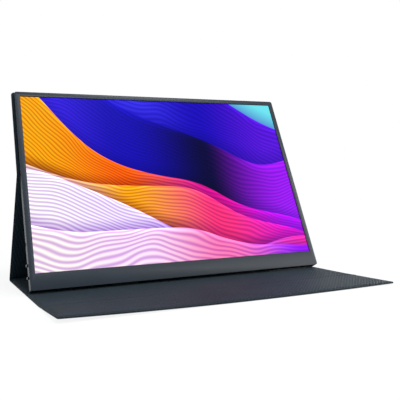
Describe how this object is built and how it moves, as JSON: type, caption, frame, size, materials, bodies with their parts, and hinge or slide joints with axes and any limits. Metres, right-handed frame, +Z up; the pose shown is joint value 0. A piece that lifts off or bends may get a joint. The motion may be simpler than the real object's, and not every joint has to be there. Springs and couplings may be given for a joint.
{
  "type": "portable monitor with folding cover",
  "caption": "Thin portable monitor standing in its folding cover: lit screen with a deep chin, a folded strut panel behind it and a flat cover in front that ends in a hinged flap.",
  "frame": {"origin": "on the table, at the middle of the cover's footprint", "axes": "+X to the right of somebody who faces the screen, +Y behind the screen, +Z up"},
  "size_m": [0.363, 0.2547, 0.2252],
  "materials": {
    "shell": "satin",
    "bezel": "matte",
    "adhesive": "matte",
    "display": "semi-gloss",
    "films": "translucent",
    "acrylic": "gloss",
    "reflector": "matte",
    "led_strip": "satin",
    "mould": "matte",
    "tray": "satin",
    "board": "semi-gloss",
    "flex": "semi-gloss",
    "white_flex": "semi-gloss",
    "chip": "matte",
    "socket": "satin",
    "jack": "gloss",
    "switch": "satin",
    "key": "gloss",
    "speaker": "matte",
    "mesh": "satin",
    "lead": "satin",
    "screw_black": "satin",
    "screw": "satin",
    "rubber": "matte",
    "steel_plate": "satin",
    "cover_skin": "matte",
    "cover_board": "matte",
    "lining": "matte",
    "magnet": "satin"
  },
  "bodies": {
    "base": {"base_skin": "cover_skin", "base_lining": "lining", "spine_board": "cover_board", "rear_board": "cover_board", "seat_board": "cover_board"},
    "strut": {"strut_skin": "cover_skin", "strut_board": "cover_board", "strut_lining": "lining"},
    "monitor": {"rear_shell": "shell", "front_bezel": "bezel", "bezel_tape": "adhesive", "lcd_cell": "display", "optical_films": "films", "light_guide": "acrylic", "reflector_sheet": "reflector", "led_bar": "led_strip", "mould_frame": "mould", "panel_back_plate": "tray", "tcon_board": "board", "panel_cable": "flex", "main_board": "board", "scaler_chip": "chip", "shield_can": "socket", "usb_c_socket_lower": "socket", "usb_c_socket_upper": "socket", "mini_hdmi_socket": "socket", "socket_tongues": "jack", "audio_jack": "jack", "key_board": "board", "key_switches": "switch", "key_cable": "white_flex", "speaker_left": "speaker", "speaker_right": "speaker", "speaker_mesh": "mesh", "speaker_leads": "lead", "case_screws": "screw_black", "board_screws": "screw", "rubber_feet": "rubber", "holding_plate": "steel_plate", "upper_skin": "cover_skin", "upper_board": "cover_board", "upper_lining": "lining", "upper_magnets": "magnet"},
    "power_button": {"power_button": "key"},
    "menu_button": {"menu_button": "key"},
    "front_flap": {"flap_skin": "cover_skin", "flap_board": "cover_board", "flap_lining": "lining", "flap_magnets": "magnet"}
  },
  "joints": [
    {"name": "stand_fold", "type": "hinge", "parent": "base", "child": "strut", "pos_m": [0, 0.12665, 0.00125], "axis": [1, 0, 0], "range_deg": [-12, 15.5]},
    {"name": "crease_fold", "type": "hinge", "parent": "strut", "child": "monitor", "pos_m": [0, 0.07066, 0.1265], "axis": [1, 0, 0], "range_deg": [-31, 24]},
    {"name": "flap_fold", "type": "hinge", "parent": "base", "child": "front_flap", "pos_m": [0, -0.06235, 0.00125], "axis": [-1, 0, 0], "range_deg": [0, 90]},
    {"name": "power_press", "type": "slide", "parent": "monitor", "child": "power_button", "axis": [1, 0, 0], "range_m": [0, 0.0004], "stiffness_N_per_m": 400},
    {"name": "menu_press", "type": "slide", "parent": "monitor", "child": "menu_button", "axis": [1, 0, 0], "range_m": [0, 0.0004], "stiffness_N_per_m": 400}
  ],
  "couplings": [
    {"joint": "crease_fold", "follows": "stand_fold", "ratio": -2}
  ]
}
